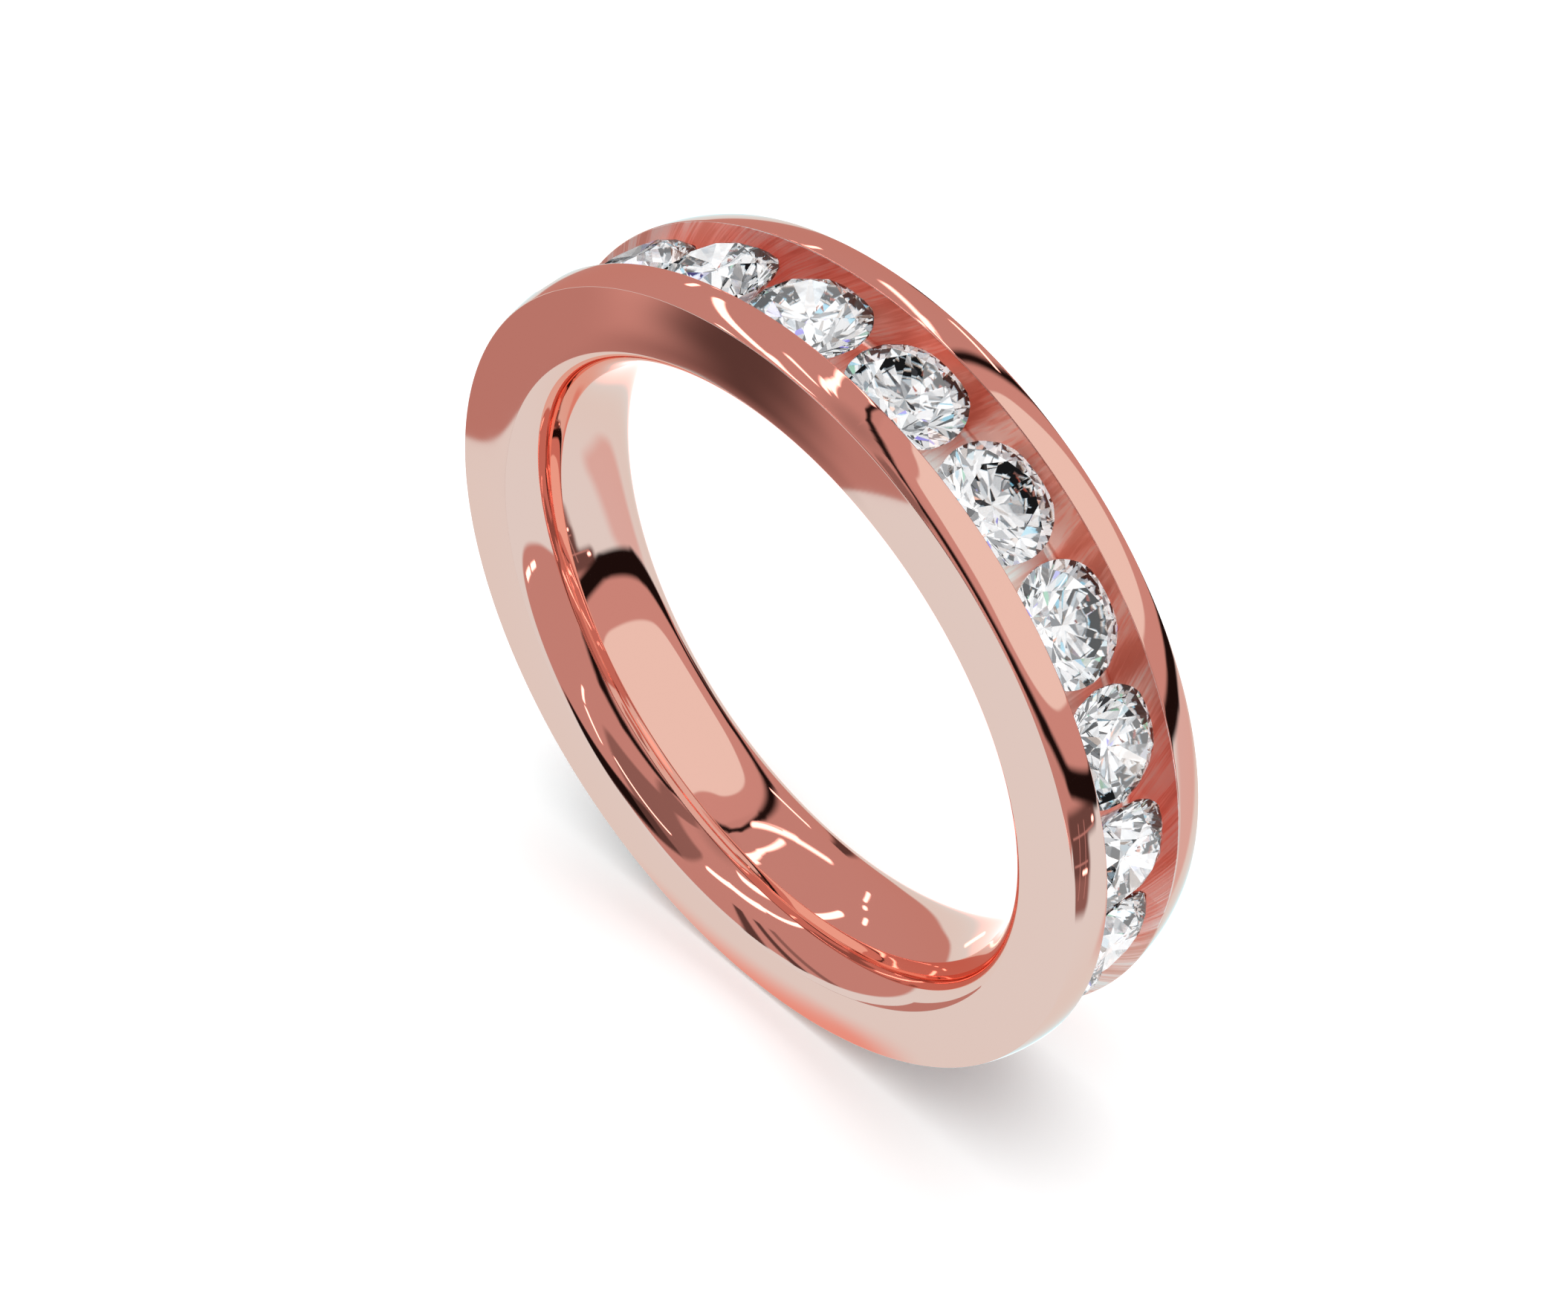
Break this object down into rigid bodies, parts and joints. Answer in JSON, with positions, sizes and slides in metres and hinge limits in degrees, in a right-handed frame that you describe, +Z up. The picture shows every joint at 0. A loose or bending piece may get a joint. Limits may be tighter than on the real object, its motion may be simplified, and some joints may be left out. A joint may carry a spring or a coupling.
{
  "type": "wedding band",
  "caption": "Full-eternity wedding band: a polished rose gold comfort-fit ring with round diamonds channel-set all the way round.",
  "frame": {"origin": "centre of the ring: on the finger axis, halfway between the two side faces", "axes": "+Y along the finger axis, +Z up through the first diamond, with the ring standing on its rim"},
  "size_m": [0.023, 0.0044, 0.023],
  "materials": {
    "rose_gold": "mirror polish, 14 carat rose gold",
    "diamond": "polished facets, colourless diamond"
  },
  "bodies": {
    "root": {"band": "rose_gold", "stone_01": "diamond", "stone_02": "diamond", "stone_03": "diamond", "stone_04": "diamond", "stone_05": "diamond", "stone_06": "diamond", "stone_07": "diamond", "stone_08": "diamond", "stone_09": "diamond", "stone_10": "diamond", "stone_11": "diamond", "stone_12": "diamond", "stone_13": "diamond", "stone_14": "diamond", "stone_15": "diamond", "stone_16": "diamond", "stone_17": "diamond", "stone_18": "diamond", "stone_19": "diamond", "stone_20": "diamond", "stone_21": "diamond"}
  },
  "joints": []
}
